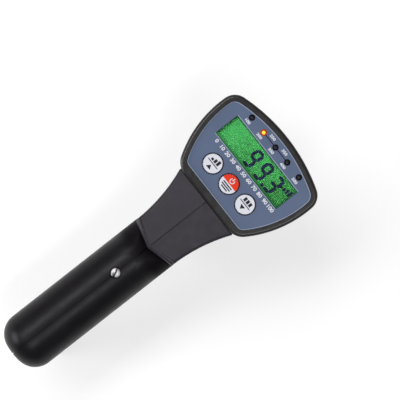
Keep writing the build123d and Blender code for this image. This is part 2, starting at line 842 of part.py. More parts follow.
def head_outline(inset):
    """Fan shape of the head: long front arc, bulging sides and straight edge at the neck."""
    front_centre = Vector(head_front - head_front_radius, 0)
    side_centre = Vector(head_widest_x, head_half_width - head_side_radius)
    corner = circles_meet(
        front_centre, head_front_radius - head_corner_radius,
        side_centre, head_side_radius - head_corner_radius,
    )
    rear_x = head_rear + head_neck_corner_radius
    rear_reach = head_side_radius - head_neck_corner_radius
    rear_y = side_centre.Y + sqrt(rear_reach**2 - (rear_x - side_centre.X) ** 2)
    rear_corner = Vector(rear_x, rear_y)
    front_joint = front_centre + (corner - front_centre).normalized() * (head_front_radius - inset)
    side_joint = side_centre + (corner - side_centre).normalized() * (head_side_radius - inset)
    rear_joint = side_centre + (rear_corner - side_centre).normalized() * (head_side_radius - inset)
    rear_start = Vector(head_rear + inset, rear_y)
    half = [
        arc_about(rear_corner, rear_start, rear_joint),
        arc_about(side_centre, rear_joint, side_joint),
        arc_about(corner, side_joint, front_joint),
    ]
    edges = half + [mirror(edge, about=Plane.XZ) for edge in half]
    front_end = Vector(front_joint.X, -front_joint.Y)
    edges.append(ThreePointArc(front_joint, Vector(head_front - inset, 0), front_end))
    edges.append(Line(rear_start, Vector(rear_start.X, -rear_start.Y)))
    return make_face(edges)


def panel_outline(inset):
    """Outline of the recessed panel, cut straight at the neck with round corners."""
    wide = 4 * head_half_width
    trim = Pos(panel_rear + inset, 0) * Rectangle(wide, wide, align=(Align.MIN, Align.CENTER))
    face = head_outline(panel_margin + inset) & trim
    return fillet(face.vertices().group_by(Axis.X)[0], panel_corner_radius - inset)


def case_screw_places():
    """Centres of the four screws that hold the back cover."""
    rear = (case_screw_rear_x, head_half_width - case_screw_rear_margin)
    front = (case_screw_front_x, head_half_width - case_screw_front_margin)
    return [(x, side * y) for x, y in (rear, front) for side in (-1, 1)]


def panel_cuts(solid, margin, low, high):
    """Takes the window, the key holes and the lamp holes out of a plate."""
    window = (window_half_length - margin, window_width / 2 - margin)
    solid -= block(
        (window_x - window[1], window_x + window[1]), (-window[0], window[0]), (low, high)
    )
    for y in key_places.values():
        solid -= upright(key_hole_radius, low, high, x=key_x, y=y)
    for y in lamp_places:
        solid -= upright(lamp_hole_radius, low, high, x=lamp_x, y=y)
    return solid


def neck_port():
    """Opening in the head's rear wall that closes round the neck's collar."""
    reach = collar_half_width + seat_gap
    x_span = (head_rear - 1, head_rear + head_wall + draft_shift + seat_gap)
    return block(x_span, (-reach, reach), (collar_low - seat_gap, collar_high + seat_gap))


def head_bezel():
    """Front shell: rounded rim, recessed deck with its openings, and posts that press on the board."""
    shell = extrude(Pos(0, 0, head_split) * head_outline(0), amount=head_top - head_split)
    shell = fillet(shell.faces().sort_by(Axis.Z)[-1].edges(), rim_round)
    shell -= extrude(Pos(0, 0, recess_floor) * panel_outline(0), amount=head_top)
    cavity = extrude(Pos(0, 0, head_split) * head_outline(head_wall), amount=deck_bottom - head_split)
    posts = [
        upright(case_screw_boss_radius, board_top, deck_bottom, x=x, y=y) for x, y in case_screw_places()
    ]
    for post in posts:
        cavity -= post
    shell -= cavity
    shell = panel_cuts(shell, 0, deck_bottom - 1, head_top)
    for x, y in case_screw_places():
        shell -= upright(case_screw_radius, board_top - 1, board_top + case_screw_bite, x=x, y=y)
    return shell - neck_port()


def head_back_cover():
    """Back shell: drafted sides, rounded base, screw posts and the bay for the cells."""
    shell = extrude(Pos(0, 0, head_split) * head_outline(0), amount=-cover_depth, taper=head_draft)
    shell = fillet(shell.faces().sort_by(Axis.Z)[0].edges(), back_round)
    shell = Part() + shell
    cavity = Pos(0, 0, head_split) * head_outline(head_wall)
    cavity = extrude(cavity, amount=cover_floor - head_split, taper=head_draft)
    walls = (
        (bay_rear - bay_wall, bay_front + bay_wall),
        (-bay_half_length - bay_wall, bay_half_length + bay_wall),
        (head_bottom, bay_top + bay_wall),
    )
    shell -= cavity
    shell += block(*walls)
    for x, y in case_screw_places():
        shell += upright(case_screw_boss_radius, cover_floor, board_bottom, x=x, y=y)
        floor_z = head_bottom + case_screw_sink + case_screw_head_height
        shell -= upright(case_screw_head_radius + seat_gap, 0, floor_z, x=x, y=y)
        shell -= upright(case_screw_radius, 0, board_bottom + 1, x=x, y=y)
    shell += upright(case_screw_boss_radius, cover_floor, cover_floor + door_post_height, x=door_screw_x)
    shell -= upright(case_screw_radius, 0, cover_floor + door_screw_length, x=door_screw_x)
    shell -= block(
        (bay_rear, bay_front), (-bay_half_length, bay_half_length), (0, bay_top)
    )
    shell -= extrude(Pos(0, 0, head_bottom - 1) * door_outline(door_gap), amount=door_thickness + 1)
    return shell - neck_port()


def door_outline(gap):
    """Outline of the battery door with its screw tab, moved outwards by gap."""
    grow = door_ledge + gap
    width = bay_front - bay_rear + 2 * grow
    length = 2 * (bay_half_length + grow)
    plate = Pos((bay_front + bay_rear) / 2, 0) * RectangleRounded(width, length, door_corner_radius + gap)
    tab = Pos(door_screw_x, 0) * RectangleRounded(
        door_tab_length + 2 * gap, 2 * (door_tab_half_width + gap), door_corner_radius + gap
    )
    return plate + tab


def battery_door():
    """Flat door with a finger groove, held by one screw in its tab."""
    door = extrude(Pos(0, 0, head_bottom) * door_outline(0), amount=door_thickness)
    door -= upright(case_screw_radius, 0, head_top, x=door_screw_x)
    sink = head_bottom + case_screw_head_height / 2
    door -= upright(case_screw_head_radius + seat_gap, 0, sink, x=door_screw_x)
    groove_half_length = bay_half_length / 3
    groove_half_width = door_groove_width / 2
    for n in range(door_groove_count):
        x = bay_front - door_ledge - door_groove_pitch * n
        door -= block(
            (x - groove_half_width, x + groove_half_width),
            (-groove_half_length, groove_half_length),
            (0, head_bottom + door_thickness / 4),
        )
    return door


def battery_door_screw():
    """Small screw of the battery door."""
    screw = slotted_screw(case_screw_head_radius, case_screw_head_height, case_screw_radius, door_screw_length)
    top = head_bottom - case_screw_head_height / 2
    return Pos(door_screw_x, 0, top) * Rot(180, 0, 0) * screw


def batteries():
    """Two cells side by side, turned end for end."""
    half = cell_length / 2
    cells = []
    for place, turn in zip(cell_places, (-90, 90)):
        cell = upright(cell_radius, -half, half - cell_cap_length)
        cell = chamfer(cell.edges().filter_by(GeomType.CIRCLE), cell_radius / 12)
        cell += upright(cell_cap_radius, 0, half)
        cells.append(Pos(place, 0, cell_z) * Rot(turn, 0, 0) * cell)
    return Compound(cells)


def battery_contacts():
    """Bridging and terminal plates with pressed domes at both ends of the bay."""
    plates = []
    half = cell_radius - contact_margin
    for side in (-1, 1):
        wall = side * bay_half_length
        for place in cell_places:
            face = wall - side * contact_plate
            tip = face - side * contact_bump
            plate = block(
                (place - half, place + half),
                sorted((wall, face)),
                (cell_z - half, cell_z + half),
            )
            dome = Cone(contact_radius, cell_cap_radius, contact_bump, align=middle_low)
            dome = Pos(place, face, cell_z) * Rot(90 * side, 0, 0) * dome
            plates.append(plate + dome)
    return Compound(plates)


def panel_overlay():
    """Thin printed panel in the bezel's recess."""
    plate = extrude(Pos(0, 0, recess_floor) * panel_outline(seat_gap), amount=overlay_thickness)
    return panel_cuts(plate, window_lip, recess_floor - 1, head_top)


def display_window():
    """Clear window let into the bezel's deck under the panel's edge."""
    length = window_half_length - running_gap
    width = window_width / 2 - running_gap
    x_span = (window_x - width, window_x + width)
    return block(x_span, (-length, length), (deck_bottom, recess_floor))


def lcd_module():
    """Liquid crystal cell on its backlight block."""
    length = window_half_length + lcd_margin
    width = window_width / 2 + lcd_margin
    top = deck_bottom - lcd_gap
    glass = top - lcd_glass
    module = block((window_x - width, window_x + width), (-length, length), (board_top, glass))
    edge = lcd_margin / 3
    module += block(
        (window_x - width + edge, window_x + width - edge), (-length + edge, length - edge), (glass, top)
    )
    return module


def circuit_board():
    """Board held between the posts of bezel and cover."""
    wide = 4 * head_half_width
    trim = Pos(board_rear, 0) * Rectangle(wide, wide, align=(Align.MIN, Align.CENTER))
    face = head_outline(head_wall + board_margin) & trim
    board = extrude(Pos(0, 0, board_bottom) * face, amount=board_thickness)
    for x, y in case_screw_places():
        board -= upright(case_screw_radius, 0, head_top, x=x, y=y)
    return board


def key_heights():
    """Heights of a key from the bottom of its stem to its top."""
    top = panel_top + key_proud
    flange_top = deck_bottom - seat_gap
    flange_bottom = flange_top - key_flange_thickness
    stem_bottom = flange_bottom - key_flange_thickness / 2
    return stem_bottom, flange_bottom, flange_top, top


def key(name):
    """Round key: cap through the panel, flange under the deck and stem over its switch."""
    stem_bottom, flange_bottom, flange_top, top = key_heights()
    y = key_places[name]
    cap = upright(key_radius, flange_top, top, x=key_x, y=y)
    cap = chamfer(cap.faces().sort_by(Axis.Z)[-1].edges(), key_edge)
    cap += upright(key_flange_radius, flange_bottom, flange_top, x=key_x, y=y)
    return cap + upright(key_stem_radius, stem_bottom, flange_bottom, x=key_x, y=y)


def tact_switches():
    """Switch bodies under the keys, each with a well for the key's stem."""
    stem_bottom = key_heights()[0]
    top = stem_bottom - key_travel + loose_gap
    half = switch_side / 2
    bodies = []
    for y in key_places.values():
        body = block((key_x - half, key_x + half), (y - half, y + half), (board_top, top))
        well = stem_bottom - key_travel - running_gap
        body -= upright(key_stem_radius + seat_gap, well, top + 1, x=key_x, y=y)
        bodies.append(body)
    return Compound(bodies)


def indicator_leds():
    """Round lamps with domed tops, standing on the board."""
    shoulder = panel_top + lamp_proud - lamp_radius
    lamps = []
    for y in lamp_places:
        lamp = upright(lamp_radius, board_top, shoulder, x=lamp_x, y=y)
        lamps.append(lamp + Pos(lamp_x, y, shoulder) * Sphere(lamp_radius, arc_size1=0))
    return Compound(lamps)


def head_screws():
    """Four screws from below, through cover and board into the bezel's posts."""
    head_low = head_bottom + case_screw_sink
    length = board_top + case_screw_bite - head_low - case_screw_head_height - seat_gap
    screw = slotted_screw(case_screw_head_radius, case_screw_head_height, case_screw_radius, length)
    return Compound([Pos(x, y, head_low) * Rot(180, 0, 0) * screw for x, y in case_screw_places()])


nodes = {
    "housing_left": grip_shell(1),
    "housing_right": grip_shell(-1),
    "top_screw": top_screw(),
    "side_screws": side_screws(),
    "neck_left": neck_shell(1),
    "neck_right": neck_shell(-1),
    "neck_screws": neck_screws(),
    "head_bezel": head_bezel(),
    "head_back_cover": head_back_cover(),
    "head_screws": head_screws(),
    "panel_overlay": panel_overlay(),
    "display_window": display_window(),
    "lcd_module": lcd_module(),
    "circuit_board": circuit_board(),
    "tact_switches": tact_switches(),
    "indicator_leds": indicator_leds(),
    "key_up": key("key_up"),
    "key_power": key("key_power"),
    "key_down": key("key_down"),
    "battery_door": battery_door(),
    "battery_door_screw": battery_door_screw(),
    "batteries": batteries(),
    "battery_contacts": battery_contacts(),
    "frame": frame(),
    "leg_fork": leg_fork(),
    "leg_screw": leg_screw(),
    "point_sleeve": point_sleeve(),
    "sleeve_lock_nut": sleeve_lock_nut(),
    "plunger": plunger(),
    "indenter_point": indenter_point(),
    "load_spring": load_spring(),
    "plunger_guide": plunger_guide(),
    "lever": lever(),
    "lever_pin": lever_pin(),
    "sensor_body": sensor_body(),
    "sensor_stem": sensor_stem(),
    "sensor_clamp_screw": sensor_clamp_screw(),
}

os.makedirs("parts", exist_ok=True)
for name, solid in nodes.items():
    export_step(solid, f"parts/{name}.step")
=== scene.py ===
from math import atan2, cos, pi, radians, sin

import bmesh
import bpy
from mathutils import Matrix, Vector


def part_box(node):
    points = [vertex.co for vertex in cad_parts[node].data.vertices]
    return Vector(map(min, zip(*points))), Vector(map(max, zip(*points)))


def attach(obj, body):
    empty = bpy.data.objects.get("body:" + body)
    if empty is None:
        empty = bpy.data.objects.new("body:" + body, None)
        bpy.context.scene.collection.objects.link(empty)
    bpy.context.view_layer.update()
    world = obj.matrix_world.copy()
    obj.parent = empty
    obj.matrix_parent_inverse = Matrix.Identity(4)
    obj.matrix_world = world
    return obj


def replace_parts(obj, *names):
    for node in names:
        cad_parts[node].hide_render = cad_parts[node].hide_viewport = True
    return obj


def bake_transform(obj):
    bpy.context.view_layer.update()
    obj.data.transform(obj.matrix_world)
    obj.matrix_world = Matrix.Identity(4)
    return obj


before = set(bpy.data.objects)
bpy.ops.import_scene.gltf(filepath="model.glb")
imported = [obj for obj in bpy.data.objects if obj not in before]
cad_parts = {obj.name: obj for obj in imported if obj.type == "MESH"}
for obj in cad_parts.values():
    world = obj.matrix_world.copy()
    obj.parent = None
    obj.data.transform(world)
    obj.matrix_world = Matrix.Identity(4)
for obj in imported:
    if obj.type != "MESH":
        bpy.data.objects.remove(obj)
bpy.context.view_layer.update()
mm = 0.001

# Camera
# It looks straight down on the instrument from a metre above. The picture is turned so that the grip
# runs off towards the lower left corner and the display head sits upper right.
view_distance = 1000 * mm
view_width = 215.5 * mm
view_turn = radians(-38.1)
view_centre = Vector((37.0, 2.8, 60.0)) * mm
camera_data = bpy.data.cameras.new("camera")
camera_data.lens = camera_data.sensor_width * view_distance / view_width
camera = bpy.data.objects.new("camera", camera_data)
camera.location = view_centre + Vector((0, 0, view_distance))
camera.rotation_euler = (0, 0, view_turn)
bpy.context.scene.collection.objects.link(camera)
bpy.context.scene.camera = camera
bpy.context.scene.view_settings.view_transform = "Standard"


# Light
# A dim grey room and three soft boxes: a long one above the grip's left side, a narrow one above its
# right side and a low one behind the left. They give the streaks on the black mouldings and leave the
# flanks dark.
def soft_box(name, place, aim, size, power, colour):
    """Rectangular area lamp at place, turned towards aim."""
    data = bpy.data.lights.new(name, "AREA")
    data.shape = "RECTANGLE"
    data.size, data.size_y = size
    data.energy = power
    data.color = colour
    lamp = bpy.data.objects.new(name, data)
    lamp.location = place
    lamp.rotation_euler = (Vector(aim) - Vector(place)).to_track_quat("-Z", "Y").to_euler()
    bpy.context.scene.collection.objects.link(lamp)


room_light = 0.20
world = bpy.data.worlds.new("room")
world.use_nodes = True
bpy.context.scene.world = world
background = world.node_tree.nodes["Background"]
background.inputs["Color"].default_value = (1.0, 1.0, 1.0, 1.0)
background.inputs["Strength"].default_value = room_light

lit_point = (0.02, 0.0, 0.06)
lamp_white = (0.99, 0.985, 1.0)
cool_white = (0.98, 0.98, 1.0)
soft_box("soft_box_left", (0.0, 0.62, 1.08), lit_point, (1.0, 0.34), 7.6, lamp_white)
soft_box("soft_box_right", (0.0, -0.40, 1.14), lit_point, (0.9, 0.2), 4.6, lamp_white)
soft_box("soft_box_behind", (-0.85, 0.62, 0.42), lit_point, (0.55, 0.45), 6.5, cool_white)


# Floor
# A white table under the feet and the indenter. It keeps the shadow, and looks white where it is seen
# directly or mirrored.
def new_material(name):
    """Material with an empty node tree and its output."""
    material = bpy.data.materials.new(name)
    material.use_nodes = True
    material.node_tree.nodes.clear()
    output = material.node_tree.nodes.new("ShaderNodeOutputMaterial")
    return material, material.node_tree, output


def calculate(tree, operation, *values):
    """Result of a Math node whose values are sockets or plain numbers."""
    node = tree.nodes.new("ShaderNodeMath")
    node.operation = operation
    for socket, value in zip(node.inputs, values):
        if isinstance(value, float):
            socket.default_value = value
        else:
            tree.links.new(value, socket)
    return node.outputs[0]


def seen_directly(tree):
    """1 for camera, mirror and glass rays, and 0 for the rays that light the scene."""
    path = tree.nodes.new("ShaderNodeLightPath")
    mirrored = calculate(tree, "MAXIMUM", path.outputs["Is Camera Ray"], path.outputs["Is Glossy Ray"])
    return calculate(tree, "MAXIMUM", mirrored, path.outputs["Is Transmission Ray"])


floor_half = 4.0
floor_colour = (0.48, 0.48, 0.475, 1.0)
floor_lift = 0.58
mesh = bmesh.new()
bmesh.ops.create_grid(mesh, x_segments=1, y_segments=1, size=floor_half)
data = bpy.data.meshes.new("floor")
mesh.to_mesh(data)
mesh.free()
floor = bpy.data.objects.new("floor", data)
bpy.context.scene.collection.objects.link(floor)
material, tree, output = new_material("white_table")
paper = tree.nodes.new("ShaderNodeBsdfDiffuse")
paper.inputs["Color"].default_value = floor_colour
lift = tree.nodes.new("ShaderNodeEmission")
both = tree.nodes.new("ShaderNodeAddShader")
tree.links.new(calculate(tree, "MULTIPLY", seen_directly(tree), floor_lift), lift.inputs["Strength"])
tree.links.new(paper.outputs["BSDF"], both.inputs[0])
tree.links.new(lift.outputs["Emission"], both.inputs[1])
tree.links.new(both.outputs["Shader"], output.inputs["Surface"])
floor.data.materials.append(material)


# Grip shells
# Two halves of black glass-filled nylon, moulded with a fine satin grain. The top screw and one in each
# side draw them to the steel frame. Their gloss fades almost to none at the fold before the neck, as
# painted shade.
def principled(name, roughness, metallic=0.0, specular=0.5):
    """Material with one Principled shader whose plain values are set on its sockets."""
    material, tree, output = new_material(name)
    shader = tree.nodes.new("ShaderNodeBsdfPrincipled")
    shader.inputs["Roughness"].default_value = roughness
    shader.inputs["Metallic"].default_value = metallic
    shader.inputs["Specular IOR Level"].default_value = specular
    tree.links.new(shader.outputs["BSDF"], output.inputs["Surface"])
    return material, tree, shader


def noise(tree, scale, detail=2.0, roughness=0.5, stretch=(1.0, 1.0, 1.0)):
    """Noise over the object's own coordinates, in waves per metre."""
    place = tree.nodes.new("ShaderNodeTexCoord")
    mapping = tree.nodes.new("ShaderNodeMapping")
    mapping.inputs["Scale"].default_value = stretch
    texture = tree.nodes.new("ShaderNodeTexNoise")
    texture.inputs["Scale"].default_value = scale
    texture.inputs["Detail"].default_value = detail
    texture.inputs["Roughness"].default_value = roughness
    tree.links.new(place.outputs["Object"], mapping.inputs["Vector"])
    tree.links.new(mapping.outputs["Vector"], texture.inputs["Vector"])
    return texture.outputs["Fac"]


def ramp(tree, value, low, high, start=0.3, end=0.7):
    """Colour that goes from low to high as value goes from start to end."""
    node = tree.nodes.new("ShaderNodeValToRGB")
    node.color_ramp.elements[0].position = start
    node.color_ramp.elements[1].position = end
    node.color_ramp.elements[0].color = (*low, 1.0)
    node.color_ramp.elements[1].color = (*high, 1.0)
    tree.links.new(value, node.inputs["Fac"])
    return node.outputs["Color"]


def spread(tree, value, low, high, start=0.3, end=0.7, easing="LINEAR"):
    """Number that goes from low to high as value goes from start to end."""
    node = tree.nodes.new("ShaderNodeMapRange")
    node.interpolation_type = easing
    node.inputs["From Min"].default_value = start
    node.inputs["From Max"].default_value = end
    node.inputs["To Min"].default_value = low
    node.inputs["To Max"].default_value = high
    tree.links.new(value, node.inputs["Value"])
    return node.outputs["Result"]


def bump(tree, shader, height, depth):
    """Relief of the given depth in metres."""
    node = tree.nodes.new("ShaderNodeBump")
    node.inputs["Distance"].default_value = depth
    tree.links.new(height, node.inputs["Height"])
    tree.links.new(node.outputs["Normal"], shader.inputs["Normal"])


def moulded_plastic(name, dark, light, roughness, grain, depth, specular=0.5):
    """Moulded plastic: faint cloudy colour, uneven gloss and a spark-eroded grain."""
    material, tree, shader = principled(name, roughness, specular=specular)
    cloud = noise(tree, 90.0, detail=4.0)
    tree.links.new(ramp(tree, cloud, dark, light), shader.inputs["Base Color"])
    gloss = spread(tree, noise(tree, 240.0, detail=3.0), roughness - 0.05, roughness + 0.05)
    tree.links.new(gloss, shader.inputs["Roughness"])
    bump(tree, shader, noise(tree, grain, detail=3.0, roughness=0.6), depth)
    return material


def dress(material, *names):
    """Gives CAD nodes a material in place of their plain one."""
    for name in names:
        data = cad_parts[name].data
        data.materials.clear()
        data.materials.append(material)


grip_specular = 0.15
fold_shade_specular = 0.02
fold_shade_rear = -13.0 * mm
fold_shade_front = -5.0 * mm
grip_black = moulded_plastic(
    "grip_black", (0.0060, 0.0052, 0.0066), (0.0085, 0.0075, 0.0095), 0.37, 2400.0, 0.010 * mm,
    specular=grip_specular,
)
tree = grip_black.node_tree
place = tree.nodes.new("ShaderNodeTexCoord")
split = tree.nodes.new("ShaderNodeSeparateXYZ")
tree.links.new(place.outputs["Object"], split.inputs["Vector"])
# Painted shade: the specular level falls towards the neck, so the fold renders dark as if shaded by it.
painted_fold_shade = spread(
    tree, split.outputs["X"], grip_specular, fold_shade_specular, fold_shade_rear, fold_shade_front, "SMOOTHSTEP"
)
tree.links.new(painted_fold_shade, tree.nodes["Principled BSDF"].inputs["Specular IOR Level"])
dress(grip_black, "housing_left", "housing_right")


# Grip shoulder
# The grip's front end as a moulding shows it: the crown rolls down to the neck in one soft saddle, in
# two halves that leave the parting line open. Thin skins over the shells, in the same nylon.
def add_piece(name, mesh, material, body="body"):
    """Object from a bmesh in its final place, riding on a body, or on none if it bends between two."""
    data = bpy.data.meshes.new(name)
    mesh.to_mesh(data)
    mesh.free()
    piece = bpy.data.objects.new(name, data)
    bpy.context.scene.collection.objects.link(piece)
    data.materials.append(material)
    if body:
        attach(piece, body)
    return piece


def thicken(mesh, faces, way):
    """Gives open faces a second side, moved by a vector, and the walls between."""
    grown = bmesh.ops.extrude_face_region(mesh, geom=faces, use_keep_orig=True)
    moved = [item for item in grown["geom"] if isinstance(item, bmesh.types.BMVert)]
    bmesh.ops.translate(mesh, verts=moved, vec=way)
    bmesh.ops.recalc_face_normals(mesh, faces=mesh.faces[:])


def soften(piece, angle=30):
    """Smooth shading that keeps edges sharper than the angle."""
    piece.data.shade_smooth()
    piece.data.set_sharp_from_angle(angle=radians(angle))
    return piece


def ease(share):
    """Smooth step from 0 to 1."""
    share = min(max(share, 0.0), 1.0)
    return share * share * (3 - 2 * share)


def soft_least(a, b, reach):
    """Smaller of two heights, rounded over where they cross."""
    near = max(reach - abs(a - b), 0.0) / reach
    return min(a, b) - near * near * reach / 4


grip_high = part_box("housing_left")[1]
crown_radius = grip_high.y
crown_z = grip_high.z
neck_apex = Vector((-0.9, 0.0, 70.5)) * mm
neck_corner = Vector((3.4, 15.6, 68.86)) * mm
roll_start = -8.0 * mm
roll_drop = 3.55 * mm
crown_blend = 1.5 * mm
swell_start = -14.0 * mm
swell = 0.4 * mm
swell_flank = 0.35
parting_half = 0.225 * mm
skin_lift = 0.02 * mm
skin_sink = 1.0 * mm
skin_under_neck = 0.3 * mm
skin_turn = radians(84)
skin_steps_along = 40
skin_steps_round = 48


def neck_wall_x(y):
    """Where the neck's end wall stands at y."""
    return neck_apex.x + (neck_corner.x - neck_apex.x) * abs(y) / neck_corner.y


def shoulder_height(x, y):
    """Top of the saddle: the grip's round crown, rolled down towards the neck's end wall."""
    crown = crown_z - crown_radius + (crown_radius**2 - min(abs(y), crown_radius) ** 2) ** 0.5
    run = neck_wall_x(y) - roll_start
    roll_radius = (run**2 + roll_drop**2) / (2 * roll_drop)
    past = min(max(x - roll_start, 0.0), run)
    roll = crown_z - roll_radius + (roll_radius**2 - past**2) ** 0.5
    lift = swell * ease((x - swell_start) / (roll_start - swell_start))
    lift *= ease((1 - abs(y) / crown_radius) / swell_flank)
    return soft_least(crown, roll + skin_lift, crown_blend) + lift + skin_lift


mesh = bmesh.new()
parting_turn = atan2(parting_half, crown_radius)
for side in (1, -1):
    known = len(mesh.faces)
    grid = bmesh.ops.create_grid(
        mesh, x_segments=skin_steps_along, y_segments=skin_steps_round, size=0.5
    )
    for vert in grid["verts"]:
        turn = parting_turn + (vert.co.y + 0.5) * (skin_turn - parting_turn)
        y = side * crown_radius * sin(turn)
        skin_end = neck_wall_x(y) + skin_under_neck
        x = swell_start + (vert.co.x + 0.5) * (skin_end - swell_start)
        vert.co = (x, y, shoulder_height(x, y))
    thicken(mesh, list(mesh.faces)[known:], (0, 0, -skin_sink))
soften(add_piece("grip_shoulder", mesh, grip_black), 50)

# Neck shells
# Two halves in the same black nylon with a coarser, drier grain on their flat gabled top, joined by two
# screws from the right.
neck_black = moulded_plastic(
    "neck_black", (0.019, 0.0168, 0.0232), (0.025, 0.022, 0.030), 0.5, 1900.0, 0.030 * mm, specular=0.3
)
dress(neck_black, "neck_left", "neck_right")


# Neck edge
# The chevron over the grip has a rolled edge in the nylon of the neck, polished by the hand. Its two
# arms are mitred where they meet in the middle.
def add_prism(mesh, corners, way):
    """Closed prism: a flat outline pushed along a vector."""
    face = mesh.faces.new([mesh.verts.new(corner) for corner in corners])
    thicken(mesh, [face], way)


edge_roll = 2.3 * mm
edge_lift = Vector((-0.02, 0.0, 0.04)) * mm
edge_end_gap = 0.25 * mm
roll_steps = 10
roof_tilt = radians(7)
merge_reach = 0.001 * mm
mesh = bmesh.new()
for side in (1, -1):
    start = neck_apex + edge_lift
    end = Vector((neck_corner.x, side * neck_corner.y, neck_corner.z)) + edge_lift
    along = (end - start).normalized()
    wall_out = Vector((-abs(along.y), side * along.x, 0.0)).normalized()
    roof_up = Vector((0.0, side * sin(roof_tilt), cos(roof_tilt)))
    middle = start - (wall_out + roof_up) * edge_roll / (1 + wall_out.dot(roof_up))
    turns = [roof_up.slerp(wall_out, n / roll_steps) for n in range(roll_steps + 1)]
    outline = [middle + turn * edge_roll for turn in turns] + [middle]
    outline = [point - along * (point.y / along.y) for point in outline]
    add_prism(mesh, outline, along * (side * (neck_corner.y - edge_end_gap) / along.y))
bmesh.ops.remove_doubles(mesh, verts=mesh.verts[:], dist=merge_reach)
mitre = [face for face in mesh.faces if max(abs(vert.co.y) for vert in face.verts) < merge_reach]
bmesh.ops.delete(mesh, geom=mitre, context="FACES_ONLY")
bmesh.ops.recalc_face_normals(mesh, faces=mesh.faces[:])
edge_black = moulded_plastic(
    "neck_edge_black", (0.018, 0.0155, 0.021), (0.024, 0.021, 0.028), 0.36, 1900.0, 0.01 * mm,
    specular=0.42,
)
soften(add_piece("neck_chevron_edge", mesh, edge_black), 40)


# Neck seal
# A black strip closes the joint between the neck's front and the head, as painted shade for the dark
# inside of the joint. It stands between the two mouldings, and its front corners are cut back.
def add_outline(mesh, points, low, thickness):
    """Flat plate from a plan outline, thickness high, standing on low."""
    add_prism(mesh, [(x, y, low) for x, y in points], (0, 0, thickness))


seal_rear, seal_bend, seal_front = 38.4 * mm, 40.3 * mm, 42.0 * mm
seal_half = 22.3 * mm
seal_front_half = 20.0 * mm
seal_low = 54.0 * mm
seal_height = 13.0 * mm
# Painted shade: a near-black strip where the joint holds only shade.
joint_shade_black = moulded_plastic(
    "joint_shade_black", (0.004, 0.004, 0.005), (0.007, 0.007, 0.008), 0.6, 1500.0, 0.01 * mm, specular=0.1
)
outline = [
    (seal_rear, seal_half), (seal_rear, -seal_half), (seal_bend, -seal_half),
    (seal_front, -seal_front_half), (seal_front, seal_front_half), (seal_bend, seal_half),
]
mesh = bmesh.new()
add_outline(mesh, outline, seal_low, seal_height)
add_piece("neck_joint_shade", mesh, joint_shade_black)

# Head shells
# Bezel, back cover and battery door in black ABS, a little browner and glossier than the grip, held by
# screws from below.
head_black = moulded_plastic(
    "head_black", (0.0105, 0.0094, 0.0096), (0.0140, 0.0128, 0.0128), 0.33, 2800.0, 0.012 * mm,
    specular=0.5,
)
dress(head_black, "head_bezel", "head_back_cover", "battery_door")


# Screws
# Slotted screws of turned steel, nickel plated. They hold the grip, the neck, the covers, the leg and
# the sensor's clamp.
def worked_metal(name, dark, light, roughness, scratches):
    """Metal with fine uneven scratches in its gloss and a faint change of tone."""
    material, tree, shader = principled(name, roughness, metallic=1.0)
    tree.links.new(ramp(tree, noise(tree, 400.0, detail=4.0), dark, light), shader.inputs["Base Color"])
    fine = noise(tree, scratches, detail=3.0, stretch=(0.12, 1.0, 1.0))
    tree.links.new(spread(tree, fine, roughness - 0.08, roughness + 0.08), shader.inputs["Roughness"])
    bump(tree, shader, fine, 0.004 * mm)
    return material


nickel = worked_metal("nickel_plate", (0.40, 0.39, 0.40), (0.60, 0.59, 0.60), 0.42, 5000.0)
dress(
    nickel, "side_screws", "neck_screws", "head_screws", "battery_door_screw", "leg_screw",
    "sensor_clamp_screw",
)


# Top screw
# The cheese head screw over the parting line, in the same nickel plate. It was tightened with its slot
# turned from the grip's axis, and a dark plate down in the slot is painted shade.
def merged_copy(node, reach):
    """Copy of a CAD node's mesh, its loose triangles joined where corners lie within reach."""
    mesh = bmesh.new()
    mesh.from_mesh(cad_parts[node].data)
    bmesh.ops.remove_doubles(mesh, verts=mesh.verts[:], dist=reach)
    return mesh


def add_line(mesh, start, end, width, low, thickness):
    """Straight bar between two points in plan."""
    a, b = Vector(start), Vector(end)
    along = (b - a).normalized()
    aside = Vector((-along.y, along.x)) * width / 2
    add_outline(mesh, [a + aside, a - aside, b - aside, b + aside], low, thickness)


screw_low, screw_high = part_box("top_screw")
screw_middle = (screw_low + screw_high) / 2
slot_turn = radians(29)
slot_shade_half = 2.6 * mm
slot_shade_width = 0.7 * mm
slot_shade_depth = 1.08 * mm
slot_shade_thickness = 0.75 * mm
mesh = merged_copy("top_screw", merge_reach)
turned = Matrix.Rotation(slot_turn, 3, "Z")
bmesh.ops.rotate(mesh, verts=mesh.verts[:], cent=screw_middle, matrix=turned)
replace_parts(soften(add_piece("top_screw_turned", mesh, nickel), 25), "top_screw")
# Painted shade: a dark plate at the slot's bottom stands for the shade in the slot.
slot_shade_material = moulded_plastic(
    "slot_shade", (0.010, 0.009, 0.009), (0.020, 0.018, 0.016), 0.9, 3000.0, 0.02 * mm, specular=0.05
)
mesh = bmesh.new()
reach = Vector((cos(slot_turn), sin(slot_turn))) * slot_shade_half
add_line(
    mesh, screw_middle.xy - reach, screw_middle.xy + reach, slot_shade_width, screw_high.z - slot_shade_depth,
    slot_shade_thickness,
)
add_piece("top_screw_slot_shade", mesh, slot_shade_material)

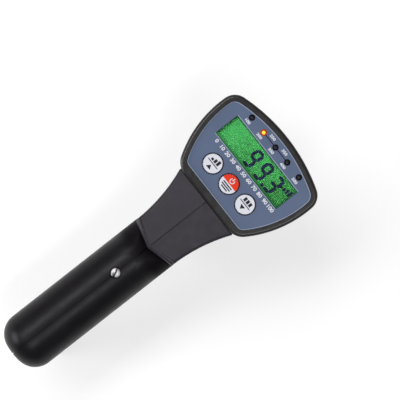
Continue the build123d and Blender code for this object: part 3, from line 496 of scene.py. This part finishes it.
# Measuring gear and leg
# Frame, leg, lever and plunger are ground steel, the sleeve, its nut, the point and the sensor's stem
# are hardened, and the guide that sets the spring is turned brass.
ground_steel = worked_metal("ground_steel", (0.42, 0.42, 0.44), (0.55, 0.55, 0.57), 0.34, 2400.0)
dress(ground_steel, "frame", "leg_fork", "lever", "lever_pin", "plunger", "battery_contacts")
hard_steel = worked_metal("hard_steel", (0.30, 0.30, 0.32), (0.42, 0.42, 0.44), 0.26, 3600.0)
dress(hard_steel, "point_sleeve", "sleeve_lock_nut", "indenter_point", "sensor_stem")
dress(worked_metal("brass", (0.55, 0.38, 0.14), (0.68, 0.48, 0.20), 0.3, 3600.0), "plunger_guide")

# Load spring
# A coil of square steel wire around the plunger. It stands still at its guide and shortens as the
# plunger's collar rises below it.
mesh = merged_copy("load_spring", merge_reach)
coil = soften(add_piece("load_spring_coil", mesh, ground_steel, body=None))
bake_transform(coil)
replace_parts(coil, "load_spring")

# Parts inside the head
# Board with green solder resist, switches of black nylon, cells in a printed jacket and the sensor's
# case. They are soldered, clipped or screwed in behind the panel.
solder_resist = moulded_plastic(
    "solder_resist", (0.005, 0.045, 0.02), (0.01, 0.065, 0.03), 0.3, 1500.0, 0.01 * mm
)
dress(solder_resist, "circuit_board")
switch_nylon = moulded_plastic(
    "switch_nylon", (0.012, 0.012, 0.013), (0.02, 0.02, 0.021), 0.5, 2500.0, 0.01 * mm
)
dress(switch_nylon, "tact_switches", "sensor_body")
cell_print = moulded_plastic("cell_print", (0.05, 0.09, 0.16), (0.07, 0.12, 0.2), 0.35, 900.0, 0.005 * mm)
dress(cell_print, "batteries")

# Printed panel
# A matt polycarbonate sheet in slate blue with a fine velvet grain, stuck into the bezel's recess.
# A pale band along its edge is a painted highlight. Light lines follow the long sides of the window,
# and a dark line joins the three middle lamps.
panel_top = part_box("panel_overlay")[1].z
ink_height = 0.04 * mm

material, tree, shader = principled("panel_blue", 0.42, specular=0.45)
tone = ramp(tree, noise(tree, 60.0, detail=3.0), (0.073, 0.105, 0.186), (0.085, 0.122, 0.212))
tree.links.new(tone, shader.inputs["Base Color"])
bump(tree, shader, noise(tree, 4500.0, detail=2.0), 0.006 * mm)
dress(material, "panel_overlay")


def ink(name, colour, roughness=0.45, specular=0.3):
    """One flat colour with a slightly uneven film, as screen-printed ink; also used for painted
    highlight, shade and glow.
    """
    material, tree, shader = principled(name, roughness, specular=specular)
    patchy = noise(tree, 1400.0, detail=2.0)
    low = tuple(0.9 * value for value in colour)
    tree.links.new(ramp(tree, patchy, low, colour), shader.inputs["Base Color"])
    bump(tree, shader, patchy, 0.004 * mm)
    return material


def panel_boundary():
    """Outer edge of the overlay's top as an ordered loop of points, from a merged copy of its node."""
    copy = merged_copy("panel_overlay", 0.002 * mm)
    top_reach = panel_top - 0.01 * mm
    below = [face for face in copy.faces if face.calc_center_median().z < top_reach]
    bmesh.ops.delete(copy, geom=below, context="FACES")
    edges = [edge for edge in copy.edges if edge.is_boundary]
    start = max(edges, key=lambda edge: edge.verts[0].co.x).verts[0]
    loop = []
    last = None
    vert = start
    while vert is not start or last is None:
        loop.append(vert.co.xy.copy())
        edge = next(e for e in vert.link_edges if e.is_boundary and e is not last)
        last, vert = edge, edge.other_vert(vert)
    copy.free()
    return loop


def edge_band(mesh, loop, near, far, low, thickness):
    """Closed line that follows a loop between two distances inside it."""
    face = mesh.faces.new([mesh.verts.new((x, y, low)) for x, y in loop])
    margin = bmesh.ops.inset_individual(mesh, faces=[face], thickness=near, use_even_offset=True)
    line = bmesh.ops.inset_individual(mesh, faces=[face], thickness=far - near, use_even_offset=True)
    bmesh.ops.delete(mesh, geom=[face] + margin["faces"], context="FACES")
    thicken(mesh, line["faces"], (0, 0, thickness))


pale_ink_and_highlight = ink("pale_ink_and_highlight", (0.34, 0.40, 0.52))
white_ink = ink("white_ink", (0.74, 0.76, 0.80))
dark_ink_and_gap_shade = ink("dark_ink_and_gap_shade", (0.010, 0.010, 0.022), 0.5, 0.1)

# Painted highlight: a pale band just inside the panel's edge, where its cut edge catches the light.
edge_highlight_near = 0.06 * mm
edge_highlight_far = 0.42 * mm
mesh = bmesh.new()
edge_band(mesh, panel_boundary(), edge_highlight_near, edge_highlight_far, panel_top, ink_height)
add_piece("panel_edge_highlight", mesh, pale_ink_and_highlight)

display_low = Vector((65.6, -26.0)) * mm
display_high = Vector((80.6, 26.0)) * mm
window_line_gap = 0.2 * mm
window_line_width = 0.32 * mm
mesh = bmesh.new()
for x in (display_low.x - window_line_gap, display_high.x + window_line_gap):
    add_line(mesh, (x, display_low.y), (x, display_high.y), window_line_width, panel_top, ink_height)
add_piece("window_lines", mesh, pale_ink_and_highlight)

lamps_low, lamps_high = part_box("indicator_leds")
lamp_x = (lamps_low.x + lamps_high.x) / 2
lamp_radius = (lamps_high.x - lamps_low.x) / 2
lamp_pitch = (lamps_high.y - lamps_low.y - 2 * lamp_radius) / 4
joining_gap = 0.2 * mm
joining_half = lamp_pitch / 2 - lamp_radius - joining_gap
joining_width = 0.5 * mm
mesh = bmesh.new()
for y in (lamp_pitch / 2, -lamp_pitch / 2):
    start, end = (lamp_x, y - joining_half), (lamp_x, y + joining_half)
    add_line(mesh, start, end, joining_width, panel_top, ink_height)
add_piece("lamp_joining_line", mesh, dark_ink_and_gap_shade)

# Printed numbers
# A plain scale from 0 to 100 between keys and window, and plain numbers at the lamps, screen-printed in
# white ink.
reading_turn = Matrix.Rotation(radians(-90), 4, "Z")
capital_share = 0.7
text_merge_reach = 0.002 * mm


def number(text, centre, height, low, stretch, bold):
    """Mesh of a text centred on a point, read from the grip's end with its top to the head's front."""
    curve = bpy.data.curves.new("number", "FONT")
    curve.body = text
    curve.size = height / capital_share
    curve.extrude = ink_height / 2
    curve.offset = bold
    curve.align_x = "CENTER"
    curve.align_y = "CENTER"
    curve.resolution_u = 4
    carrier = bpy.data.objects.new("number", curve)
    bpy.context.scene.collection.objects.link(carrier)
    bpy.context.view_layer.update()
    data = bpy.data.meshes.new_from_object(carrier)
    bpy.data.objects.remove(carrier)
    placed = Matrix.Translation((centre[0], centre[1], low + ink_height / 2)) @ reading_turn
    data.transform(placed @ Matrix.Diagonal((stretch, 1.0, 1.0, 1.0)))
    return data


def print_numbers(name, items, height, stretch, bold):
    """One white piece on the panel from several (text, place) pairs."""
    mesh = bmesh.new()
    for text, centre in items:
        data = number(text, centre, height, panel_top, stretch, bold)
        mesh.from_mesh(data)
        bpy.data.meshes.remove(data)
    bmesh.ops.remove_doubles(mesh, verts=mesh.verts[:], dist=text_merge_reach)
    bmesh.ops.dissolve_degenerate(mesh, edges=mesh.edges[:], dist=text_merge_reach)
    bmesh.ops.recalc_face_normals(mesh, faces=mesh.faces[:])
    add_piece(name, mesh, white_ink)


window_low, window_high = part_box("display_window")
scale_height = 2.0 * mm
scale_x = window_low.x - 3.2 * mm
scale_left = 22.0 * mm
scale_right = -23.6 * mm
scale_step = (scale_right - scale_left) / 10
scale = [(str(10 * n), (scale_x, scale_left + scale_step * n)) for n in range(11)]
print_numbers("scale_numbers", scale, scale_height, stretch=1.15, bold=0.07 * mm)

lamp_places = [lamp_pitch * (2 - n) for n in range(5)]
label_height = 1.5 * mm
below_lamps = lamp_x - 3.1 * mm
above_lamps = lamp_x + 2.1 * mm
labels = [(str(100 * n), (below_lamps, y)) for n, y in enumerate(lamp_places, 1)]
labels += [("250", (above_lamps, lamp_pitch / 2)), ("350", (above_lamps, -lamp_pitch / 2))]
print_numbers("lamp_numbers", labels, label_height, stretch=1.2, bold=0.06 * mm)


# Display
# A green backlit liquid crystal cell behind a clear acrylic window that is let into the deck under the
# panel's edge. Its border is darker where the deck shades it.
def centred_place(tree, centre, reach):
    """The piece's own coordinates, which are 0 at the centre and 1 at the given reach from it."""
    place = tree.nodes.new("ShaderNodeTexCoord")
    mapping = tree.nodes.new("ShaderNodeMapping")
    mapping.vector_type = "TEXTURE"
    mapping.inputs["Location"].default_value = centre
    mapping.inputs["Scale"].default_value = reach
    tree.links.new(place.outputs["Object"], mapping.inputs["Vector"])
    return mapping.outputs["Vector"]


display_mid = (display_low + display_high) / 2
display_half = (display_high - display_low) / 2
shaded_share_x = 0.16
shaded_share_y = 0.07
dark_green = (0.012, 0.135, 0.020)
light_green = (0.032, 0.28, 0.062)
shaded_green = (0.006, 0.075, 0.016, 1.0)
material, tree, shader = principled("display_green", 0.4, specular=0.12)
split = tree.nodes.new("ShaderNodeSeparateXYZ")
tree.links.new(centred_place(tree, (*display_mid, 0.0), (*display_half, 1.0)), split.inputs["Vector"])
shades = []
for axis, share in (("X", shaded_share_x), ("Y", shaded_share_y)):
    outward = calculate(tree, "ABSOLUTE", split.outputs[axis])
    shades.append(spread(tree, outward, 0.0, 1.0, 1.0 - share, 1.0, "SMOOTHSTEP"))
cloudy = calculate(tree, "MULTIPLY_ADD", split.outputs["Y"], 0.5, noise(tree, 70.0, detail=2.0))
edge = tree.nodes.new("ShaderNodeMix")
edge.data_type = "RGBA"
edge.inputs["B"].default_value = shaded_green
tree.links.new(calculate(tree, "MAXIMUM", *shades), edge.inputs["Factor"])
tree.links.new(ramp(tree, cloudy, dark_green, light_green, 0.0, 1.0), edge.inputs["A"])
tree.links.new(edge.outputs["Result"], shader.inputs["Base Color"])
dress(material, "lcd_module")

window_ledge = 0.3 * mm
opening_low = window_low.x + window_ledge
opening_end = window_high.y - window_ledge
outline = [
    (display_low.x, display_low.y), (display_high.x, display_low.y),
    (display_high.x, -opening_end), (opening_low, -opening_end),
    (opening_low, opening_end), (display_high.x, opening_end),
    (display_high.x, display_high.y), (display_low.x, display_high.y),
]
mesh = bmesh.new()
add_outline(mesh, outline, panel_top, ink_height)
add_piece("display_border", mesh, material)

material, tree, output = new_material("clear_acrylic")
shader = tree.nodes.new("ShaderNodeBsdfPrincipled")
shader.inputs["Base Color"].default_value = (0.97, 0.98, 0.97, 1.0)
shader.inputs["Roughness"].default_value = 0.04
shader.inputs["IOR"].default_value = 1.36
shader.inputs["Transmission Weight"].default_value = 1.0
clear = tree.nodes.new("ShaderNodeBsdfTransparent")
path = tree.nodes.new("ShaderNodeLightPath")
mixed = tree.nodes.new("ShaderNodeMixShader")
tree.links.new(path.outputs["Is Shadow Ray"], mixed.inputs["Fac"])
tree.links.new(shader.outputs["BSDF"], mixed.inputs[1])
tree.links.new(clear.outputs["BSDF"], mixed.inputs[2])
tree.links.new(mixed.outputs["Shader"], output.inputs["Surface"])
dress(material, "display_window")

# Display digits
# Dark liquid crystal in seven-segment shapes that lean to the right, with a decimal point and four
# rising bars. They are a thin film on the cell, under the window.
digit_height = 11.8 * mm
digit_width = 6.0 * mm
digit_pitch = 8.8 * mm
digit_bottom = 67.1 * mm
digit_lean = 0.08
first_left = 6.0 * mm
segment = 1.75 * mm
segment_gap = 0.04 * mm
point_back = 1.1 * mm
film_gap = 0.01 * mm
film_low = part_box("lcd_module")[1].z + film_gap
film = 0.05 * mm
wide = digit_width - segment
tall = digit_height - segment
half = tall / 2
segment_ends = {
    "a": ((0, tall), (wide, tall)), "b": ((wide, half), (wide, tall)), "c": ((wide, 0), (wide, half)),
    "d": ((0, 0), (wide, 0)), "f": ((0, half), (0, tall)), "g": ((0, half), (wide, half)),
}
segments_lit = {"3": "abgcd", "9": "abcdfg"}
crystal = ink("dark_crystal", (0.0035, 0.008, 0.03), 0.5, 0.05)


def on_display(across, up, left):
    """Point of the display from a place read across and up, starting at y = left."""
    return Vector((digit_bottom + segment / 2 + up, left - segment / 2 - across - digit_lean * up))


def add_segment(mesh, start, end):
    """One bar of a digit, with a small gap at its ends and both ends pointed."""
    along = (end - start).normalized()
    aside = Vector((-along.y, along.x)) * segment / 2
    tip = along * segment / 2
    a = start + along * segment_gap
    b = end - along * segment_gap
    outline = [a, a + tip + aside, b - tip + aside, b, b - tip - aside, a + tip - aside]
    add_outline(mesh, outline, film_low, film)


mesh = bmesh.new()
for n, digit in enumerate("993"):
    left = first_left - n * digit_pitch
    for letter in segments_lit[digit]:
        add_segment(mesh, *(on_display(*point, left) for point in segment_ends[letter]))
point = on_display(2 * digit_pitch - point_back, 0, first_left)
reach = Vector((segment / 2, 0))
add_line(mesh, point - reach, point + reach, segment, film_low, film)
add_piece("display_digits", mesh, crystal)

marker_low = 74.6 * mm
marker_left = -18.6 * mm
marker_pitch = 1.9 * mm
marker_width = 1.35 * mm
marker_heights = (1.3 * mm, 2.1 * mm, 2.9 * mm, 3.7 * mm)
mesh = bmesh.new()
for n, height in enumerate(marker_heights):
    y = marker_left - n * marker_pitch
    add_line(mesh, (marker_low, y), (marker_low + height, y), marker_width, film_low, film)
add_piece("display_marker", mesh, crystal)

# Keys
# Flush round caps of white ABS with a satin gloss, each in a hole of the panel over its switch. A dark
# ring on each cap's edge and around its hole is painted shade of the gap between cap and hole.
key_white = moulded_plastic(
    "key_white_plastic", (0.66, 0.68, 0.74), (0.72, 0.74, 0.80), 0.33, 1800.0, 0.006 * mm
)
dress(key_white, "key_up", "key_down", "key_power")
key_radius = 5.45 * mm
cap_reach = 5.2 * mm
cap_shade_gap = 0.03 * mm
gap_shade_inset = 0.12 * mm
gap_shade_reach = 0.4 * mm
ring_segments = 64


def key_centre(name):
    """Middle of a key's top."""
    low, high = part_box(name)
    return Vector(((low.x + high.x) / 2, (low.y + high.y) / 2, high.z))


def add_ring(mesh, x, y, inner, outer, low):
    """Flat ring between two radii, standing on low; used for print, painted shade and painted glow."""
    for radius in (inner, outer):
        placed = Matrix.Translation((x, y, low))
        bmesh.ops.create_circle(mesh, segments=ring_segments, radius=radius, matrix=placed)
    circles = [edge for edge in mesh.edges if edge.is_wire]
    thicken(mesh, bmesh.ops.bridge_loops(mesh, edges=circles)["faces"], (0, 0, ink_height))


# Painted shade: dark rings on both sides of the gap around each key.
key_gap_shade_rings = bmesh.new()
for name in ("key_up", "key_power", "key_down"):
    centre = key_centre(name)
    inner, outer = key_radius + gap_shade_inset, key_radius + gap_shade_reach
    add_ring(key_gap_shade_rings, centre.x, centre.y, inner, outer, panel_top)
    mesh = bmesh.new()
    add_ring(mesh, centre.x, centre.y, cap_reach, key_radius - cap_shade_gap, centre.z)
    add_piece(name + "_ring", mesh, dark_ink_and_gap_shade, body=name)
add_piece("key_gap_shade", key_gap_shade_rings, dark_ink_and_gap_shade)

# Symbols on the outer keys
# Screen-printed in black: a divider across the cap, three bars above it, and a triangle below it that
# points up on one key and down on the other.
black_ink = ink("black_ink", (0.006, 0.006, 0.010), 0.4)
divider_half = 3.9 * mm
divider_width = 0.45 * mm
triangle_drop = 2.3 * mm
triangle_base = 1.1 * mm
triangle_tip = 1.2 * mm
triangle_half = 1.6 * mm
bar_rise = 0.8 * mm
bar_pitch = 2.0 * mm
bar_width = 1.5 * mm


def key_symbol(name, pointing, heights):
    """Divider, triangle and three bars on a key; pointing is 1 for up and -1 for down."""
    x, y, low = key_centre(name)
    mesh = bmesh.new()
    add_line(mesh, (x, y + divider_half), (x, y - divider_half), divider_width, low, ink_height)
    base = x - triangle_drop - pointing * triangle_base
    tip = x - triangle_drop + pointing * triangle_tip
    add_outline(mesh, [(base, y + triangle_half), (base, y - triangle_half), (tip, y)], low, ink_height)
    for n, height in enumerate(heights):
        bar_y = y + (1 - n) * bar_pitch
        start, end = (x + bar_rise, bar_y), (x + bar_rise + height, bar_y)
        add_line(mesh, start, end, bar_width, low, ink_height)
    add_piece(name + "_symbol", mesh, black_ink, body=name)


key_symbol("key_up", 1, (1.3 * mm, 2.2 * mm, 3.0 * mm))
key_symbol("key_down", -1, (2.3 * mm, 2.3 * mm, 2.3 * mm))

# Symbols on the middle key
# Its front half is printed red, with a white power symbol over the red: an open ring and a bar. The
# white half below has three black lines.
red_ink = ink("red_ink", (0.78, 0.032, 0.004), 0.35)
red_shift = 0.15 * mm
red_steps = 40
x, y, low = key_centre("key_power")
turns = [pi * n / red_steps for n in range(red_steps + 1)]
outline = [(x + cap_reach * sin(turn) + red_shift, y + cap_reach * cos(turn)) for turn in turns]
mesh = bmesh.new()
add_outline(mesh, outline, low, ink_height)
add_piece("key_power_red", mesh, red_ink, body="key_power")

power_rise = 2.3 * mm
power_inner = 1.05 * mm
power_outer = 1.5 * mm
power_bar_start = 0.2 * mm
power_bar_end = 2.0 * mm
power_bar_width = 0.45 * mm
power_opening = 40
power_steps = 24
power_x = x + power_rise
swept = 360 - 2 * power_opening
turns = [radians(power_opening + swept * n / power_steps) for n in range(power_steps + 1)]
arc = [(power_outer, turn) for turn in turns] + [(power_inner, turn) for turn in reversed(turns)]
outline = [(power_x + radius * cos(turn), y + radius * sin(turn)) for radius, turn in arc]
start, end = (power_x + power_bar_start, y), (power_x + power_bar_end, y)
mesh = bmesh.new()
add_outline(mesh, outline, low + ink_height, ink_height)
add_line(mesh, start, end, power_bar_width, low + ink_height, ink_height)
add_piece("key_power_symbol", mesh, white_ink, body="key_power")

menu_lines = ((0.95 * mm, 3.3 * mm), (2.15 * mm, 3.3 * mm), (3.35 * mm, 2.3 * mm))
menu_line_width = 0.65 * mm
mesh = bmesh.new()
for drop, reach in menu_lines:
    add_line(mesh, (x - drop, y + reach), (x - drop, y - reach), menu_line_width, low, ink_height)
add_piece("key_menu_symbol", mesh, black_ink, body="key_power")

# Dark lamps
# Round light-emitting diodes in smoked resin, cast with a flat dome that stands just above the panel.
# They are nearly black when off, and each has a thin dark ring printed around it.
dome_steps = 6
dome_share = 0.55
dome_turns = 40
lamp_ring_gap = 0.02 * mm
lamp_ring_reach = 0.25 * mm


def lamp_dome(mesh, y):
    """Turned lamp with a domed top, standing at y on the row of lamps."""
    profile = [(0.0, lamps_high.z)]
    for n in range(1, dome_steps + 1):
        turn = radians(90 * n / dome_steps)
        drop = lamp_radius * dome_share * (1 - cos(turn))
        profile.append((lamp_radius * sin(turn), lamps_high.z - drop))
    profile += [(lamp_radius, lamps_low.z), (0.0, lamps_low.z)]
    verts = [mesh.verts.new((lamp_x + r, y, z)) for r, z in profile]
    edges = [mesh.edges.new(pair) for pair in zip(verts, verts[1:])]
    bmesh.ops.spin(
        mesh, geom=verts + edges, cent=(lamp_x, y, 0), axis=(0, 0, 1), angle=2 * pi,
        steps=dome_turns, use_merge=True,
    )
    bmesh.ops.remove_doubles(mesh, verts=mesh.verts[:], dist=merge_reach)
    bmesh.ops.recalc_face_normals(mesh, faces=mesh.faces[:])


material, tree, shader = principled("smoked_resin", 0.4, specular=0.25)
smoke = ramp(tree, noise(tree, 900.0, detail=2.0), (0.010, 0.006, 0.012), (0.022, 0.013, 0.024))
tree.links.new(smoke, shader.inputs["Base Color"])
lit_lamp_y = lamp_places[1]
dark_places = [y for y in lamp_places if y != lit_lamp_y]
mesh = bmesh.new()
for y in dark_places:
    lamp_dome(mesh, y)
lamps = soften(add_piece("lamps_off", mesh, material))
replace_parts(lamps, "indicator_leds")
mesh = bmesh.new()
for y in dark_places:
    add_ring(mesh, lamp_x, y, lamp_radius + lamp_ring_gap, lamp_radius + lamp_ring_reach, panel_top)
add_piece("lamp_surrounds", mesh, dark_ink_and_gap_shade)

# Lit lamp
# The second lamp from the left is lit: amber in the middle of its dome and red-orange at the rim, with a
# faint painted red glow on the panel around it.
amber = (1.0, 0.58, 0.03)
rim_red = (0.42, 0.035, 0.005)
lamp_glow_strength = 0.55
glow_reach = 0.35 * mm
material, tree, shader = principled("lit_resin", 0.25)
ball = tree.nodes.new("ShaderNodeTexGradient")
ball.gradient_type = "SPHERICAL"
place = centred_place(tree, (lamp_x, lit_lamp_y, 0.0), (lamp_radius, lamp_radius, 1000.0))
tree.links.new(place, ball.inputs["Vector"])
glow = ramp(tree, ball.outputs["Fac"], rim_red, amber, 0.25, 0.42)
tree.links.new(glow, shader.inputs["Base Color"])
tree.links.new(glow, shader.inputs["Emission Color"])
shader.inputs["Emission Strength"].default_value = lamp_glow_strength
mesh = bmesh.new()
lamp_dome(mesh, lit_lamp_y)
soften(add_piece("lamp_lit", mesh, material))
# Painted light: a red ring on the panel stands for the lamp's glow.
mesh = bmesh.new()
add_ring(mesh, lamp_x, lit_lamp_y, lamp_radius + lamp_ring_gap, lamp_radius + glow_reach, panel_top)
add_piece("lamp_glow", mesh, ink("painted_glow", (0.46, 0.05, 0.006)))
